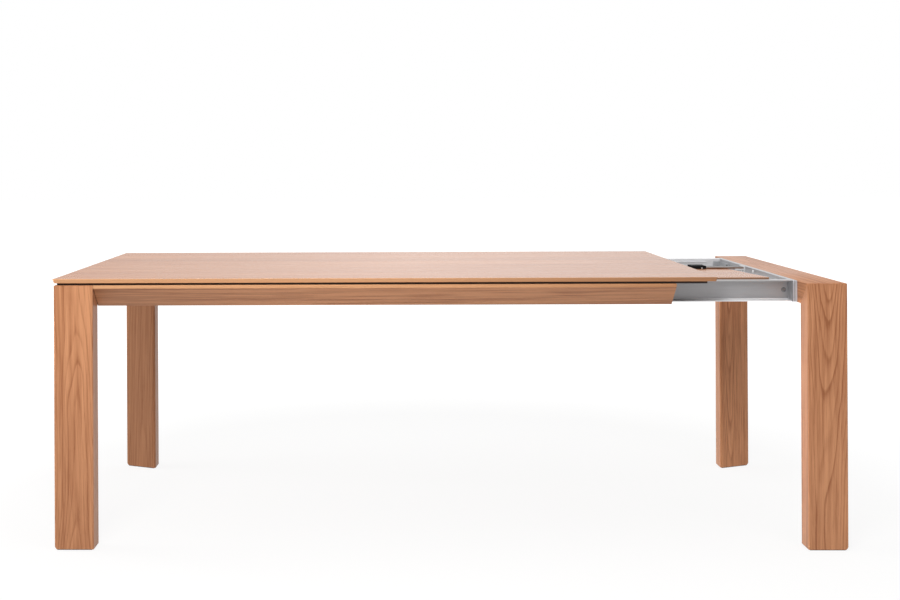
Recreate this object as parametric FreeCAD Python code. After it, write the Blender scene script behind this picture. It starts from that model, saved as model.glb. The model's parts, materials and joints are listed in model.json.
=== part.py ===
import FreeCAD, Part
import math
import os

# Extending dining table, millimetres, +Z up, floor at Z = 0.
# One end frame is drawn out along +X. The origin lies on the floor, halfway
# along and across the table as it stands with that end drawn out.

V = FreeCAD.Vector

# Overall sizes
TOP_LENGTH = 1850.0  # over the end frames when closed
TOP_WIDTH = 1000.0
TABLE_HEIGHT = 760.0
PULL_LENGTH = 360.0  # how far the end is drawn out in the modelled pose
PULL_MAX = 500.0  # full travel, enough for the leaf

# Tabletop
TOP_THICK = 12.0
TOP_UNDERCUT = 4.0
TOP_CORNER = 3.0
TOP_EASE = 1.0
TOP_OVERHANG = 4.0  # past each end frame

# Spacer strips that make the shadow gap below the top
STRIP_THICK = 6.0
STRIP_WIDTH = 80.0
STRIP_SET_BACK = 8.0
STRIP_END_GAP = 24.0  # at the drawn-out end

# End frames: legs and rail share one wedge section
FRAME_WIDTH = 110.0
FRAME_DEEP = 62.0
FRAME_EDGE = 20.0
FRAME_FLAT = 11.0
FRAME_EASE = 2.0
FOOT_CUT_WIDE = 6.0
FOOT_CUT_HIGH = 8.0
GLIDE_THICK = 3.0
GLIDE_INSET = 6.0
TONGUE_WIDE = 40.0
TONGUE_LONG = 36.0
TONGUE_THICK = 8.0
TONGUE_FROM_SIDE = 12.0
TONGUE_DEPTH = 33.0

# Aprons
APRON_HIGH = 64.0
APRON_BAND = 9.0
APRON_DEEP = 84.0
APRON_FLAT = 20.0  # underside behind the bevel
CLOSE_GAP = 1.0  # joint between apron and end frame when closed
SLIDE_GAP = 0.5  # drawn-out frame below the spacer strips

# Cross bearer and corner blocks
BEARER_WIDE = 45.0
BEARER_DROP = 8.0
BEARER_RAISE = 4.0
BEARER_CLEAR = 12.0
DOWEL_R = 5.0
DOWEL_LONG = 50.0
DOWEL_PITCH = 26.0
BLOCK_LEG = 60.0
BLOCK_DROP = 8.0
BLOCK_HIGH = 48.0

# Aluminium cross profile on the drawn-out end
PROFILE_THICK = 14.0
PROFILE_HIGH = 60.0
PROFILE_WALL = 2.5
PROFILE_FROM_APRON = 4.0
CAP_THICK = 2.0

# Aluminium channel rails
CHANNEL_HIGH = 60.0
CHANNEL_DEEP = 35.0
CHANNEL_WALL = 3.0
CHANNEL_FROM_APRON = 11.0
CHANNEL_PAST_LEAF = 47.0
LEDGE_DEEP = 12.0
LEDGE_THICK = 3.0
PLUG_LONG = 20.0
PLUG_SET_BACK = 1.0
STOP_GAP = 0.5

# Rollers and their shoulder screws
ROLLER_WIDE = 18.0
ROLLER_CHAMFER = 1.5
ROLLER_RUN_GAP = 0.3
ROLLER_END_PLAY = 0.3
ROLLER_FROM_WEB = 8.0
ROLLER_FROM_APRON_END = 45.0
JOURNAL_R = 5.0
JOURNAL_FIT = 0.05
COLLAR_R = 8.0
AXLE_HEAD = 4.0
AXLE_THREAD_R = 4.0
AXLE_THREAD_LONG = 35.0

# Corner angles between channels and profile
ANGLE_HIGH = 44.0
ANGLE_SHORT = 26.0
ANGLE_LONG = 120.0
ANGLE_THICK = 4.0
WEB_SCREW_IN = 13.0
ANGLE_SCREWS = ((105.0, 14.0), (40.0, -12.0))  # along the profile, above mid height

# Straps that tie the channels together
STRAP_WIDE = 40.0
STRAP_THICK = 4.0
STRAP_TAB = 28.0
STRAP_LIFT = 3.0
STRAP_SCREW_UP = 18.0
STRAP_FROM_LEAF_END = 26.0
STRAP_PITCH = 500.0

# Stored leaf
LEAF_LONG = 1000.0
LEAF_WIDE = 500.0
LEAF_THICK = 12.0
LEAF_EASE = 1.0
LEAF_TILT = math.radians(1.75)
LEAF_RISE = 5.2  # front upper edge above the channel
LEAF_SIDE_GAP = 1.0
LEAF_END_GAP = 53.0
REST_FROM_EDGE = 30.0
REST_WIDE = 30.0
REST_LONG = 50.0

# Keeper bar above the leaf, its end angle, block and guide
BAR_WIDE = 52.0
BAR_THICK = 4.0
BAR_LONG = 800.0
BAR_OFF_CENTRE = 64.0
BAR_LEAF_GAP = 0.5  # bar, block and guide above the stored leaf
BAR_ANGLE_THICK = 5.0
BAR_ANGLE_RISE = 2.5
BAR_ANGLE_HIGH = 20.0
BAR_ANGLE_LONG = 28.0
BAR_BLOCK_LONG = 46.0
BAR_BLOCK_FROM_PROFILE = 126.0
BAR_BLOCK_TOP_GAP = 4.5  # block below the top as it slides under
BAR_BLOCK_CHEEK = 4.0
BLOCK_SCREW_IN = 14.0
GUIDE_LONG = 60.0
GUIDE_CHEEK = 12.0
GUIDE_PLAY = 0.4
GUIDE_STOP_GAP = 1.0

# Screws: shank radius, head radius, head height
SCREW_FIT = 0.05
WOOD_SCREW = (2.5, 5.0, 3.0)
SMALL_SCREW = (2.0, 4.0, 2.5)
BUTTON_SCREW = (3.0, 7.0, 4.0)
STRAP_SCREW = (3.0, 5.0, 2.5)
PLATE_SCREW = (2.0, 3.0, 1.5)
PIN_SCREW = (1.25, 2.0, 1.25)
BOLT = (3.0, 5.0, 4.0)
TOP_SCREW_BITE = 8.0
TOP_SCREW_RECESS = 40.0
TOP_SCREW_FROM_END = 100.0
TOP_SCREW_ASIDE = 60.0  # clear of the bearer and of each roller's screw
BOLT_BITE = 40.0
MIDDLE_BOLT = (-25.0, 8.5)  # across the table, below the profile's top
SIDE_BOLT_FROM_ANGLE = 25.0
SIDE_BOLT_DROP = 46.0
TAP_BITE = 8.0  # how far a screw reaches into the metal or block that it holds

# Places worked out from the sizes
X_LEFT = -(TOP_LENGTH + PULL_LENGTH) / 2
X_TOP_END = X_LEFT + TOP_LENGTH
X_FIXED = X_LEFT + FRAME_WIDTH  # inner side of the fixed end frame
X_DRAWN = X_TOP_END + PULL_LENGTH - FRAME_WIDTH  # inner side of the drawn-out frame
X_PROFILE = X_DRAWN - PROFILE_THICK  # inner face of the cross profile
X_APRON_END = X_TOP_END - FRAME_WIDTH - CLOSE_GAP
X_LEAF_END = X_PROFILE - LEAF_END_GAP
X_LEAF_START = X_LEAF_END - LEAF_LONG
X_CHANNEL_END = X_LEAF_START - CHANNEL_PAST_LEAF
X_STRAP_INNER = X_LEAF_START + STRAP_FROM_LEAF_END
X_STRAPS = {"outer": X_STRAP_INNER + STRAP_PITCH, "inner": X_STRAP_INNER}

Y_FRONT = -TOP_WIDTH / 2
Y_APRON_BACK = Y_FRONT + APRON_DEEP
Y_CHANNEL = Y_APRON_BACK + CHANNEL_FROM_APRON
Y_WEB_BACK = Y_CHANNEL + CHANNEL_DEEP
Y_WEB_FACE = Y_WEB_BACK - CHANNEL_WALL
Y_PROFILE = Y_APRON_BACK + PROFILE_FROM_APRON
Y_LEAF = Y_WEB_BACK + LEAF_SIDE_GAP

Z_UNDER_TOP = TABLE_HEIGHT - TOP_THICK
Z_FRAME = Z_UNDER_TOP - STRIP_THICK
Z_APRON = Z_FRAME - APRON_HIGH
Z_DRAWN = Z_FRAME - SLIDE_GAP
Z_CHANNEL = Z_DRAWN - CHANNEL_HIGH
Z_CHANNEL_MID = Z_DRAWN - CHANNEL_HIGH / 2
Z_STRAP = Z_CHANNEL + STRAP_LIFT
Z_STRAP_TOP = Z_STRAP + STRAP_THICK
Y_BAR_END = BAR_OFF_CENTRE + BAR_WIDE
Y_GUIDE = BAR_OFF_CENTRE - GUIDE_PLAY - GUIDE_CHEEK
Z_LEAF_AT_GUIDE = Z_DRAWN + LEAF_RISE - (Y_GUIDE - Y_LEAF) * math.tan(LEAF_TILT)
Z_BAR = Z_LEAF_AT_GUIDE + BAR_LEAF_GAP
Z_BAR_TOP = Z_BAR + BAR_THICK
X_BAR = X_PROFILE - BAR_ANGLE_THICK

ROLLER_R = (CHANNEL_HIGH - 2 * CHANNEL_WALL) / 2 - ROLLER_RUN_GAP
Y_ROLLER_IN = Y_WEB_FACE - ROLLER_FROM_WEB
Y_ROLLER_OUT = Y_ROLLER_IN - ROLLER_WIDE
X_STOPPED = X_CHANNEL_END + PULL_MAX - PULL_LENGTH + PLUG_LONG  # plug face at full travel
X_ROLLERS = {
    "outer": X_APRON_END - ROLLER_FROM_APRON_END,
    "inner": X_STOPPED + STOP_GAP + ROLLER_R,
}
X_BEARER = X_CHANNEL_END - PULL_LENGTH - BEARER_CLEAR - BEARER_WIDE
X_BLOCK = X_PROFILE - BAR_BLOCK_FROM_PROFILE - BAR_BLOCK_LONG
X_GUIDE = X_BLOCK - PULL_LENGTH - GUIDE_STOP_GAP - GUIDE_LONG

ALONG_X = V(1, 0, 0)
ALONG_Y = V(0, 1, 0)
ALONG_Z = V(0, 0, 1)


# Shape helpers

def box(x, y, z):
    return Part.makeBox(x[1] - x[0], y[1] - y[0], z[1] - z[0], V(x[0], y[0], z[0]))


def face(points):
    return Part.Face(Part.makePolygon(points + points[:1]))


def prism_x(outline, x0, x1):
    return face([V(x0, y, z) for y, z in outline]).extrude(V(x1 - x0, 0, 0))


def prism_y(outline, y0, y1):
    return face([V(x, y0, z) for x, z in outline]).extrude(V(0, y1 - y0, 0))


def prism_z(outline, z0, z1):
    return face([V(x, y, z0) for x, y in outline]).extrude(V(0, 0, z1 - z0))


def rod(start, way, length, radius):
    return Part.makeCylinder(radius, length, start, way)


def screw(seat, way, length, kind):
    shank_r, head_r, head_high = kind
    return rod(seat, way, length, shank_r).fuse(rod(seat - way * head_high, way, head_high, head_r))


def screw_hole(seat, way, length, kind):
    return rod(seat, way, length, kind[0] + SCREW_FIT)


def mirrored(shape):
    return shape.mirror(V(0, 0, 0), ALONG_Y)


def both_sides(shapes):
    return shapes + [mirrored(shape) for shape in shapes]


def eased(outline, cut):
    """The outline with each corner cut off by a short flat."""
    points = []
    for i, corner in enumerate(outline):
        for other in (outline[i - 1], outline[(i + 1) % len(outline)]):
            share = cut / math.dist(corner, other)
            points.append(tuple(c + (o - c) * share for c, o in zip(corner, other)))
    return points


def inset(outline, gap):
    """A convex outline drawn in by an even gap on all sides."""
    lines = []
    for i, a in enumerate(outline):
        b = outline[(i + 1) % len(outline)]
        long = math.dist(a, b)
        normal = ((a[1] - b[1]) / long, (b[0] - a[0]) / long)
        lines.append((normal, normal[0] * a[0] + normal[1] * a[1] + gap))
    points = []
    for i, (n, c) in enumerate(lines):
        m, d = lines[i - 1]
        det = m[0] * n[1] - m[1] * n[0]
        points.append(((d * n[1] - c * m[1]) / det, (m[0] * c - n[0] * d) / det))
    return points


# Tabletop and spacer strips

def top_ring(z, inward):
    reach = TOP_OVERHANG - inward
    x0, x1 = X_LEFT - reach, X_TOP_END + reach
    y1 = TOP_WIDTH / 2 - inward
    corners = eased([(x0, -y1), (x1, -y1), (x1, y1), (x0, y1)], TOP_CORNER)
    points = [V(x, y, z) for x, y in corners]
    return Part.makePolygon(points + points[:1])


def tabletop():
    rings = [
        top_ring(Z_UNDER_TOP, TOP_UNDERCUT),
        top_ring(TABLE_HEIGHT - TOP_EASE, 0),
        top_ring(TABLE_HEIGHT, TOP_EASE),
    ]
    return Part.makeLoft(rings, True, True)


def front_strip():
    y0 = Y_FRONT + STRIP_SET_BACK
    x = (X_LEFT + STRIP_SET_BACK, X_TOP_END - STRIP_END_GAP)
    return box(x, (y0, y0 + STRIP_WIDTH), (Z_FRAME, Z_UNDER_TOP))


# End frames

def frame_section():
    """Wedge section: along the width from the inner side, then into the wood."""
    return [
        (0, 0),
        (FRAME_WIDTH, 0),
        (FRAME_WIDTH, FRAME_EDGE),
        (FRAME_FLAT, FRAME_DEEP),
        (0, FRAME_DEEP),
    ]


def mitre_wedge(z_top, upper):
    """Everything above, or below, the front corner's 45 degree plane."""
    reach = FRAME_WIDTH + FRAME_DEEP
    corner = (Y_FRONT, z_top)
    far = (Y_FRONT + reach, z_top - reach)
    third = (Y_FRONT + reach, z_top) if upper else (Y_FRONT, z_top - reach)
    return prism_x([corner, far, third], -TOP_LENGTH, TOP_LENGTH)


def front_tongue(x_in, way, z_top):
    middle = V(0, Y_FRONT + TONGUE_DEPTH, z_top - TONGUE_DEPTH)
    across = V(0, 1, -1).normalize() * (TONGUE_THICK / 2)
    along = V(0, 1, 1).normalize() * (TONGUE_LONG / 2)
    corners = [middle + across + along, middle - across + along]
    corners += [middle - across - along, middle + across - along]
    x0 = x_in + way * TONGUE_FROM_SIDE
    return prism_x([(c.y, c.z) for c in corners], x0, x0 + way * TONGUE_WIDE)


def front_leg(x_in, way, z_top):
    outline = [(x_in + way * u, Y_FRONT + t) for u, t in eased(frame_section(), FRAME_EASE)]
    leg = prism_z(outline, GLIDE_THICK, z_top)
    x_out = x_in + way * FRAME_WIDTH
    foot = [
        (x_out, GLIDE_THICK),
        (x_out, GLIDE_THICK + FOOT_CUT_HIGH),
        (x_out - way * FOOT_CUT_WIDE, GLIDE_THICK),
    ]
    foot_cut = prism_y(foot, Y_FRONT, Y_FRONT + FRAME_DEEP)
    return leg.cut([mitre_wedge(z_top, True), foot_cut, front_tongue(x_in, way, z_top)])


def end_rail(x_in, way, z_top):
    outline = [(x_in + way * u, z_top - t) for u, t in eased(frame_section(), FRAME_EASE)]
    rail = prism_y(outline, Y_FRONT, -Y_FRONT)
    return rail.cut(both_sides([mitre_wedge(z_top, False), front_tongue(x_in, way, z_top)]))


def front_glide(x_in, way):
    outline = [(x_in + way * u, Y_FRONT + t) for u, t in inset(frame_section(), GLIDE_INSET)]
    return prism_z(outline, 0, GLIDE_THICK)


# Aprons, bearer and corner blocks

def apron_screw_seats():
    inner, outer = X_ROLLERS["inner"], X_ROLLERS["outer"]
    places = [
        X_FIXED + TOP_SCREW_FROM_END,
        X_BEARER + BEARER_WIDE + TOP_SCREW_ASIDE,
        inner - TOP_SCREW_ASIDE,
        (inner + outer) / 2,
        outer - TOP_SCREW_ASIDE,
    ]
    y = Y_APRON_BACK - APRON_FLAT / 2
    return [V(x, y, Z_APRON + TOP_SCREW_RECESS) for x in places]


def top_screw_length():
    return Z_UNDER_TOP + TOP_SCREW_BITE - Z_APRON - TOP_SCREW_RECESS


def front_top_screws():
    return [screw(seat, ALONG_Z, top_screw_length(), WOOD_SCREW) for seat in apron_screw_seats()]


def front_top_screw_holes():
    return [screw_hole(seat, ALONG_Z, top_screw_length(), WOOD_SCREW) for seat in apron_screw_seats()]


def front_screw_recesses():
    radius = WOOD_SCREW[1] + SCREW_FIT
    return [rod(seat, -ALONG_Z, TOP_SCREW_RECESS, radius) for seat in apron_screw_seats()]


def bearer_dowel_seats():
    x = X_BEARER + BEARER_WIDE / 2
    mid = (Z_FRAME - BEARER_DROP + Z_APRON + BEARER_RAISE) / 2
    start = Y_APRON_BACK - DOWEL_LONG / 2
    return [V(x, start, mid + side * DOWEL_PITCH / 2) for side in (-1, 1)]


def front_dowels(extra=0.0):
    return [rod(seat, ALONG_Y, DOWEL_LONG, DOWEL_R + extra) for seat in bearer_dowel_seats()]


def bearer():
    y = (Y_APRON_BACK, -Y_APRON_BACK)
    z = (Z_APRON + BEARER_RAISE, Z_FRAME - BEARER_DROP)
    beam = box((X_BEARER, X_BEARER + BEARER_WIDE), y, z)
    return beam.cut(both_sides(front_dowels(SCREW_FIT)))


def front_apron():
    outline = [
        (Y_FRONT, Z_FRAME),
        (Y_FRONT, Z_FRAME - APRON_BAND),
        (Y_APRON_BACK - APRON_FLAT, Z_APRON),
        (Y_APRON_BACK, Z_APRON),
        (Y_APRON_BACK, Z_FRAME),
    ]
    apron = prism_x(outline, X_FIXED, X_APRON_END)
    threads = [axle_thread(x, SCREW_FIT) for x in X_ROLLERS.values()]
    holes = front_top_screw_holes() + front_screw_recesses() + front_dowels(SCREW_FIT)
    return apron.cut(holes + threads)


def front_corner_block():
    corner = [
        (X_FIXED, Y_APRON_BACK),
        (X_FIXED + BLOCK_LEG, Y_APRON_BACK),
        (X_FIXED, Y_APRON_BACK + BLOCK_LEG),
    ]
    z1 = Z_FRAME - BLOCK_DROP
    return prism_z(corner, z1 - BLOCK_HIGH, z1)


# Rollers on shoulder screws

def axle_thread(x, extra=0.0):
    start = V(x, Y_APRON_BACK, Z_CHANNEL_MID)
    return rod(start, -ALONG_Y, AXLE_THREAD_LONG, AXLE_THREAD_R + extra)


def front_axle(x):
    collar_end = Y_ROLLER_OUT - ROLLER_END_PLAY
    head_start = Y_ROLLER_IN + ROLLER_END_PLAY
    collar = rod(V(x, Y_APRON_BACK, Z_CHANNEL_MID), ALONG_Y, collar_end - Y_APRON_BACK, COLLAR_R)
    journal = rod(V(x, collar_end, Z_CHANNEL_MID), ALONG_Y, head_start - collar_end, JOURNAL_R)
    head = rod(V(x, head_start, Z_CHANNEL_MID), ALONG_Y, AXLE_HEAD, COLLAR_R)
    return axle_thread(x).fuse([collar, journal, head])


def front_roller(x):
    bore = JOURNAL_R + JOURNAL_FIT
    rim = ROLLER_R - ROLLER_CHAMFER
    half = [
        (bore, Y_ROLLER_OUT),
        (rim, Y_ROLLER_OUT),
        (ROLLER_R, Y_ROLLER_OUT + ROLLER_CHAMFER),
        (ROLLER_R, Y_ROLLER_IN - ROLLER_CHAMFER),
        (rim, Y_ROLLER_IN),
        (bore, Y_ROLLER_IN),
    ]
    section = face([V(x + r, y, Z_CHANNEL_MID) for r, y in half])
    return section.revolve(V(x, 0, Z_CHANNEL_MID), ALONG_Y, 360)


# Cross profile of the drawn-out end

def profile_bolt_seats():
    side = -Y_WEB_BACK - ANGLE_LONG - SIDE_BOLT_FROM_ANGLE
    places = [MIDDLE_BOLT, (-side, SIDE_BOLT_DROP), (side, SIDE_BOLT_DROP)]
    return [V(X_PROFILE, y, Z_DRAWN - below) for y, below in places]


def profile_bolt_length():
    return PROFILE_THICK + BOLT_BITE


def profile_bolts():
    return [screw(seat, ALONG_X, profile_bolt_length(), BOLT) for seat in profile_bolt_seats()]


def profile_bolt_holes():
    return [screw_hole(seat, ALONG_X, profile_bolt_length(), BOLT) for seat in profile_bolt_seats()]


def cross_profile():
    x = (X_PROFILE, X_DRAWN)
    y1 = -Y_PROFILE - CAP_THICK
    tube = box(x, (-y1, y1), (Z_DRAWN - PROFILE_HIGH, Z_DRAWN))
    w = PROFILE_WALL
    hollow = box((x[0] + w, x[1] - w), (-y1, y1), (Z_DRAWN - PROFILE_HIGH + w, Z_DRAWN - w))
    angle_holes = both_sides(front_angle_screw_holes())
    return tube.cut([hollow] + profile_bolt_holes() + angle_holes + bar_end_screw_holes())


def front_cap():
    y = (Y_PROFILE, Y_PROFILE + CAP_THICK)
    return box((X_PROFILE, X_DRAWN), y, (Z_DRAWN - PROFILE_HIGH, Z_DRAWN))


# Channel rails, stop plugs, corner angles and straps

def leaf_under(y):
    """Height of the stored leaf's underside at a place across the table."""
    corner_y = Y_LEAF - LEAF_THICK * math.sin(LEAF_TILT)
    corner_z = Z_DRAWN + LEAF_RISE - LEAF_THICK * math.cos(LEAF_TILT)
    return corner_z - (y - corner_y) * math.tan(LEAF_TILT)


def front_channel():
    x = (X_CHANNEL_END, X_PROFILE)
    bar = box(x, (Y_CHANNEL, Y_WEB_BACK), (Z_CHANNEL, Z_DRAWN))
    w = CHANNEL_WALL
    channel = bar.cut(box(x, (Y_CHANNEL, Y_WEB_FACE), (Z_CHANNEL + w, Z_DRAWN - w)))
    y1 = Y_WEB_BACK + LEDGE_DEEP
    ledge = [(Y_WEB_BACK, leaf_under(Y_WEB_BACK)), (y1, leaf_under(y1))]
    ledge += [(y, z - LEDGE_THICK) for y, z in reversed(ledge)]
    channel = channel.fuse(prism_x(ledge, X_CHANNEL_END, X_LEAF_END)).removeSplitter()
    seats = [(web_screw_seat(), BUTTON_SCREW)]
    seats += [(seat, STRAP_SCREW) for seat in strap_screw_seats()]
    return channel.cut([screw_hole(seat, ALONG_Y, CHANNEL_WALL, kind) for seat, kind in seats])


def front_plug():
    x = (X_CHANNEL_END, X_CHANNEL_END + PLUG_LONG)
    w = CHANNEL_WALL
    return box(x, (Y_CHANNEL + PLUG_SET_BACK, Y_WEB_FACE), (Z_CHANNEL + w, Z_DRAWN - w))


def web_screw_seat():
    return V(X_PROFILE - WEB_SCREW_IN, Y_WEB_FACE, Z_CHANNEL_MID)


def web_screw_length():
    return CHANNEL_WALL + ANGLE_THICK


def angle_screw_seats():
    x = X_PROFILE - ANGLE_THICK
    return [V(x, Y_WEB_BACK + along, Z_CHANNEL_MID + up) for along, up in ANGLE_SCREWS]


def angle_screw_length():
    return ANGLE_THICK + PROFILE_WALL


def front_angle_screw_holes():
    return [screw_hole(seat, ALONG_X, angle_screw_length(), BOLT) for seat in angle_screw_seats()]


def front_corner_angle():
    x0, y0 = X_PROFILE, Y_WEB_BACK
    t = ANGLE_THICK
    outline = [
        (x0, y0),
        (x0, y0 + ANGLE_LONG),
        (x0 - t, y0 + ANGLE_LONG),
        (x0 - t, y0 + t),
        (x0 - ANGLE_SHORT, y0 + t),
        (x0 - ANGLE_SHORT, y0),
    ]
    angle = prism_z(outline, Z_CHANNEL_MID - ANGLE_HIGH / 2, Z_CHANNEL_MID + ANGLE_HIGH / 2)
    web_hole = screw_hole(web_screw_seat(), ALONG_Y, web_screw_length(), BUTTON_SCREW)
    return angle.cut(front_angle_screw_holes() + [web_hole])


def front_angle_screws():
    screws = [screw(web_screw_seat(), ALONG_Y, web_screw_length(), BUTTON_SCREW)]
    return screws + [screw(seat, ALONG_X, angle_screw_length(), BOLT) for seat in angle_screw_seats()]


def strap_screw_seats():
    return [V(x, Y_WEB_FACE, Z_STRAP + STRAP_SCREW_UP) for x in X_STRAPS.values()]


def strap_screw_length():
    return CHANNEL_WALL + STRAP_THICK


def front_strap_screws():
    return [screw(seat, ALONG_Y, strap_screw_length(), STRAP_SCREW) for seat in strap_screw_seats()]


def strap(x_mid):
    x = (x_mid - STRAP_WIDE / 2, x_mid + STRAP_WIDE / 2)
    y1 = -Y_WEB_BACK
    plate = box(x, (-y1, y1), (Z_STRAP, Z_STRAP + STRAP_TAB))
    plate = plate.cut(box(x, (STRAP_THICK - y1, y1 - STRAP_THICK), (Z_STRAP_TOP, Z_STRAP + STRAP_TAB)))
    seat = V(x_mid, Y_WEB_FACE, Z_STRAP + STRAP_SCREW_UP)
    side_hole = screw_hole(seat, ALONG_Y, strap_screw_length(), STRAP_SCREW)
    return plate.cut(both_sides([side_hole]) + [rest_screw_hole(x_mid)])


# Stored leaf and its rests

def leaf():
    along = V(0, math.cos(LEAF_TILT), -math.sin(LEAF_TILT)) * LEAF_WIDE
    down = V(0, -math.sin(LEAF_TILT), -math.cos(LEAF_TILT)) * LEAF_THICK
    start = V(0, Y_LEAF, Z_DRAWN + LEAF_RISE)
    corners = [start, start + along, start + along + down, start + down]
    outline = eased([(c.y, c.z) for c in corners], LEAF_EASE)
    return prism_x(outline, X_LEAF_START, X_LEAF_END)


def rest_edge():
    return Y_LEAF + LEAF_WIDE * math.cos(LEAF_TILT) - REST_FROM_EDGE


def rest_block(x_mid):
    y0, y1 = rest_edge() - REST_WIDE, rest_edge()
    outline = [(y0, Z_STRAP_TOP), (y1, Z_STRAP_TOP), (y1, leaf_under(y1)), (y0, leaf_under(y0))]
    block = prism_x(outline, x_mid - REST_LONG / 2, x_mid + REST_LONG / 2)
    return block.cut(rest_screw_hole(x_mid))


def rest_screw_seat(x_mid):
    return V(x_mid, rest_edge() - REST_WIDE / 2, Z_STRAP)


def rest_screw_length():
    return STRAP_THICK + TAP_BITE


def rest_screw(x_mid):
    return screw(rest_screw_seat(x_mid), ALONG_Z, rest_screw_length(), SMALL_SCREW)


def rest_screw_hole(x_mid):
    return screw_hole(rest_screw_seat(x_mid), ALONG_Z, rest_screw_length(), SMALL_SCREW)


# Keeper bar with its end angle, block and guide

def bar_middle():
    return BAR_OFF_CENTRE + BAR_WIDE / 2


def bar_end_screw_seats():
    z = (Z_BAR - BAR_ANGLE_THICK + Z_BAR_TOP + BAR_ANGLE_RISE - BAR_ANGLE_HIGH) / 2
    quarter = BAR_WIDE / 4
    return [V(X_BAR, bar_middle() + side * quarter, z) for side in (-1, 1)]


def bar_end_screw_length():
    return BAR_ANGLE_THICK + PROFILE_WALL


def bar_end_screw_holes():
    length = bar_end_screw_length()
    return [screw_hole(seat, ALONG_X, length, PLATE_SCREW) for seat in bar_end_screw_seats()]


def bar_top_screw_seat():
    return V(X_BAR - BAR_ANGLE_LONG / 2, bar_middle(), Z_BAR_TOP)


def bar_top_screw_hole():
    length = BAR_THICK + BAR_ANGLE_THICK
    return screw_hole(bar_top_screw_seat(), -ALONG_Z, length, SMALL_SCREW)


def bar_screws():
    length = BAR_THICK + BAR_ANGLE_THICK
    screws = [screw(bar_top_screw_seat(), -ALONG_Z, length, SMALL_SCREW)]
    length = bar_end_screw_length()
    return screws + [screw(seat, ALONG_X, length, PLATE_SCREW) for seat in bar_end_screw_seats()]


def bar_angle():
    y = (BAR_OFF_CENTRE, Y_BAR_END)
    z1 = Z_BAR_TOP + BAR_ANGLE_RISE
    plate = box((X_BAR, X_PROFILE), y, (z1 - BAR_ANGLE_HIGH, z1))
    shelf = box((X_BAR - BAR_ANGLE_LONG, X_BAR), y, (Z_BAR - BAR_ANGLE_THICK, Z_BAR))
    return plate.fuse(shelf).cut(bar_end_screw_holes() + [bar_top_screw_hole()])


def keeper_bar():
    flat = box((X_BAR - BAR_LONG, X_BAR), (BAR_OFF_CENTRE, Y_BAR_END), (Z_BAR, Z_BAR_TOP))
    return flat.cut([bar_top_screw_hole(), block_screw_hole()])


def block_screw_seat():
    x = X_BLOCK + BAR_BLOCK_LONG - BLOCK_SCREW_IN
    return V(x, BAR_OFF_CENTRE - BAR_BLOCK_CHEEK, (Z_BAR + Z_BAR_TOP) / 2)


def block_screw_length():
    return BAR_BLOCK_CHEEK + TAP_BITE


def block_screw():
    return screw(block_screw_seat(), ALONG_Y, block_screw_length(), PIN_SCREW)


def block_screw_hole():
    return screw_hole(block_screw_seat(), ALONG_Y, block_screw_length(), PIN_SCREW)


def bar_block():
    x = (X_BLOCK, X_BLOCK + BAR_BLOCK_LONG)
    y = (BAR_OFF_CENTRE - BAR_BLOCK_CHEEK, Y_BAR_END + BAR_BLOCK_CHEEK)
    saddle = box(x, y, (Z_BAR, Z_UNDER_TOP - BAR_BLOCK_TOP_GAP))
    passage = box(x, (BAR_OFF_CENTRE, Y_BAR_END), (Z_BAR, Z_BAR_TOP))
    return saddle.cut([passage, block_screw_hole()])


def guide_screw_seats():
    x = X_GUIDE + GUIDE_LONG / 2
    half = BAR_WIDE / 2 + GUIDE_PLAY + GUIDE_CHEEK / 2
    z = Z_BAR + SMALL_SCREW[2]
    return [V(x, bar_middle() + side * half, z) for side in (-1, 1)]


def guide_screw_length():
    return Z_UNDER_TOP + TOP_SCREW_BITE - guide_screw_seats()[0].z


def guide_screws():
    return [screw(seat, ALONG_Z, guide_screw_length(), SMALL_SCREW) for seat in guide_screw_seats()]


def guide_screw_holes():
    return [screw_hole(seat, ALONG_Z, guide_screw_length(), SMALL_SCREW) for seat in guide_screw_seats()]


def bar_guide():
    x = (X_GUIDE, X_GUIDE + GUIDE_LONG)
    y0, y1 = BAR_OFF_CENTRE - GUIDE_PLAY, Y_BAR_END + GUIDE_PLAY
    body = box(x, (Y_GUIDE, y1 + GUIDE_CHEEK), (Z_BAR, Z_UNDER_TOP))
    passage = box(x, (y0, y1), (Z_BAR, Z_BAR_TOP + GUIDE_PLAY))
    recess_r = SMALL_SCREW[1] + SCREW_FIT
    recesses = [rod(seat, -ALONG_Z, SMALL_SCREW[2], recess_r) for seat in guide_screw_seats()]
    return body.cut([passage] + recesses + guide_screw_holes())


# Nodes

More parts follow.
